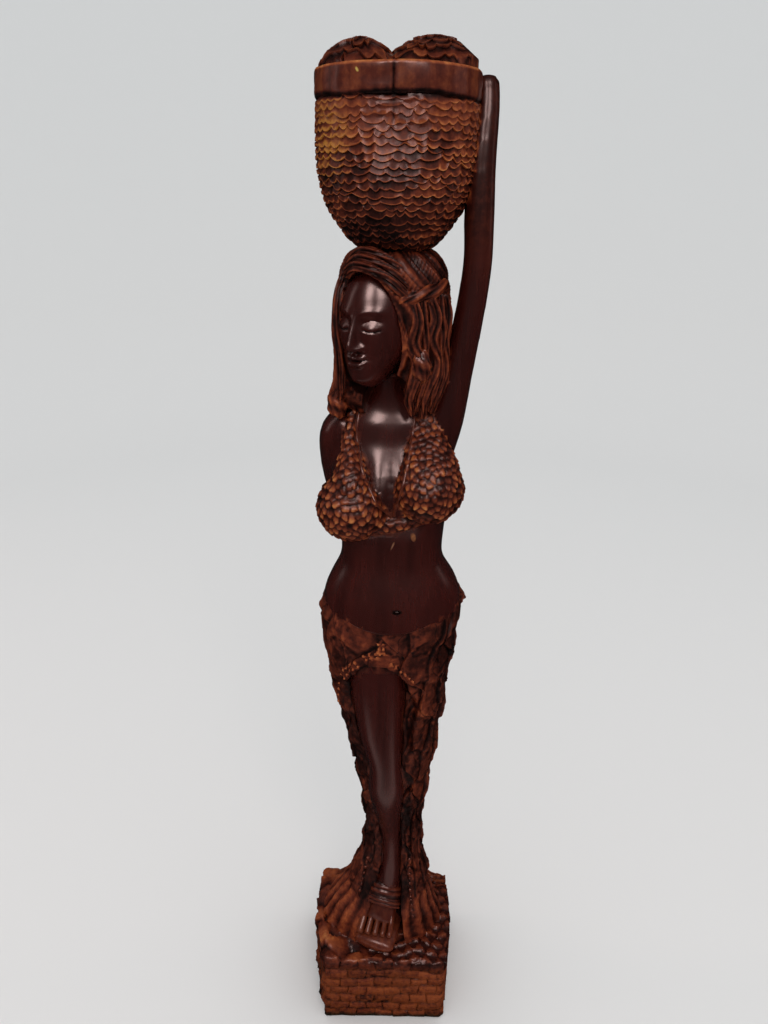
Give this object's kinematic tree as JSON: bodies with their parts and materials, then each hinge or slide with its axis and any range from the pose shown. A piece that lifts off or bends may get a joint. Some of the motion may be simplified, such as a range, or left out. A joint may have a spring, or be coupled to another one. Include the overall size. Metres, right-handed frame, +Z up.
{
  "type": "carved wooden figure of a woman with a basket",
  "caption": "Dark polished hardwood carving of a standing woman in a scaled halter top and layered wrap skirt, one arm raised to the full basket on her head, on a rough block base.",
  "frame": {"origin": "centre of the flat underside of the block base, where the carving rests", "axes": "+Z up along the figure, -Y toward the figure's front, +X toward the figure's left, the side of its raised arm"},
  "size_m": [0.1003, 0.0882, 0.6099],
  "materials": {
    "carved_wood": "satin"
  },
  "bodies": {
    "root": {"carved_woman_with_basket": "carved_wood"}
  },
  "joints": []
}
